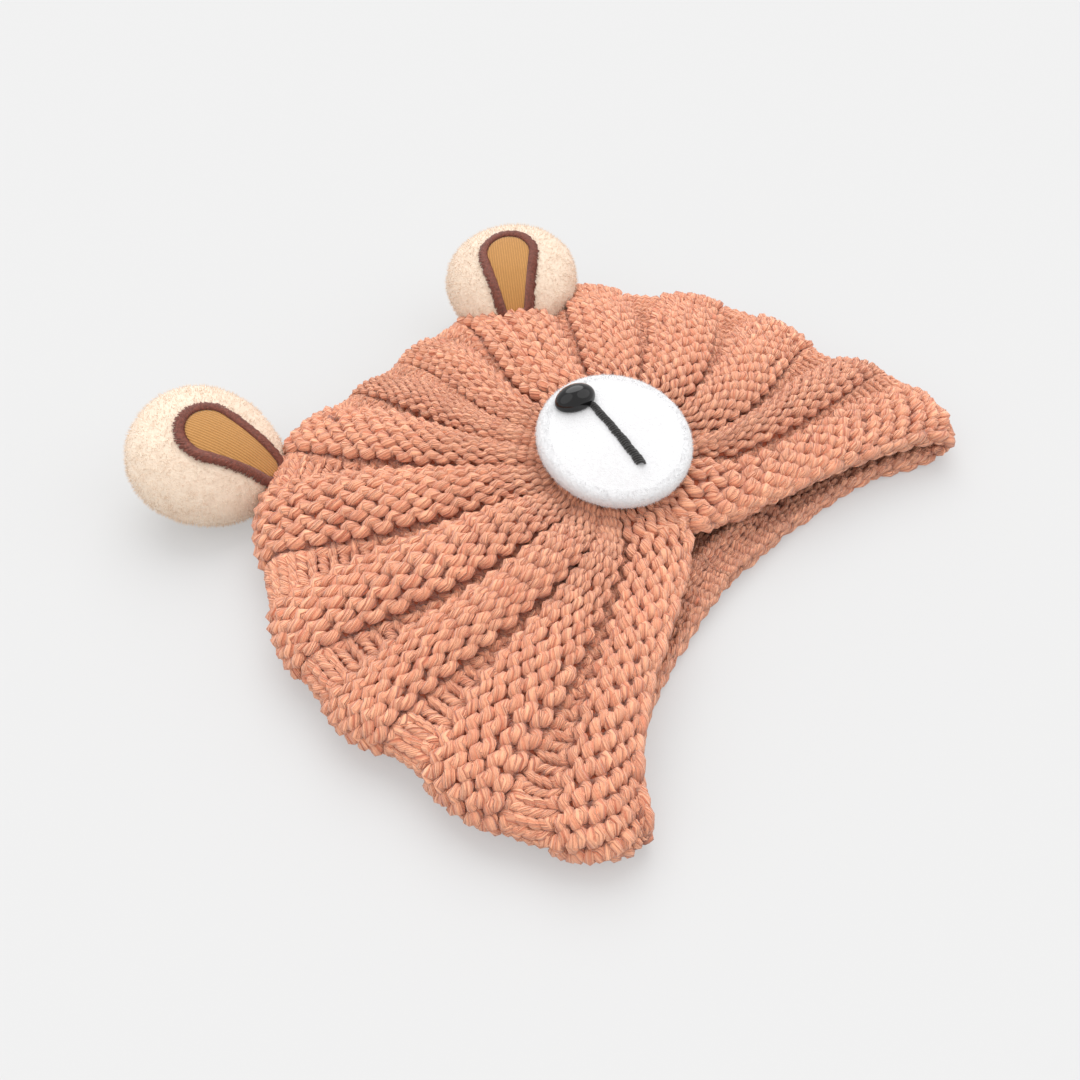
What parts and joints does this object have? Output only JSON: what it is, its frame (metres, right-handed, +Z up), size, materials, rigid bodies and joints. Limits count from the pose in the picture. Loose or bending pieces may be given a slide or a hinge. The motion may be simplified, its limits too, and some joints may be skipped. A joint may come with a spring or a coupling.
{
  "type": "knitted bear-ear turban hat",
  "caption": "Toddler's chunky rib-knit turban hat with two stuffed bear ears and a round plush muzzle, lying on its back.",
  "frame": {"origin": "under the middle of the hat's bounding box, on the surface that it lies on", "axes": "+Z up out of the face, +Y towards the crown with the ears, +X towards the wearer's left"},
  "size_m": [0.2286, 0.208, 0.0446],
  "materials": {
    "knit": "chunky acrylic knit",
    "cream_plush": "short plush",
    "ochre_felt": "finely ribbed felt",
    "brown_thread": "satin stitch",
    "white_plush": "short plush",
    "black_plastic": "glossy",
    "black_thread": "chain stitch"
  },
  "bodies": {
    "root": {"knit_gather": "knit", "knit_front_left_lobe": "knit", "knit_front_left": "knit", "knit_front_right": "knit", "knit_front_right_lobe": "knit", "knit_back_left_lobe": "knit", "knit_back_left": "knit", "knit_back_right": "knit", "knit_back_right_lobe": "knit", "ear_left_plush": "cream_plush", "ear_left_inner": "ochre_felt", "ear_left_border": "brown_thread", "ear_right_plush": "cream_plush", "ear_right_inner": "ochre_felt", "ear_right_border": "brown_thread", "muzzle_disc": "white_plush", "nose": "black_plastic", "mouth_line": "black_thread"}
  },
  "joints": []
}
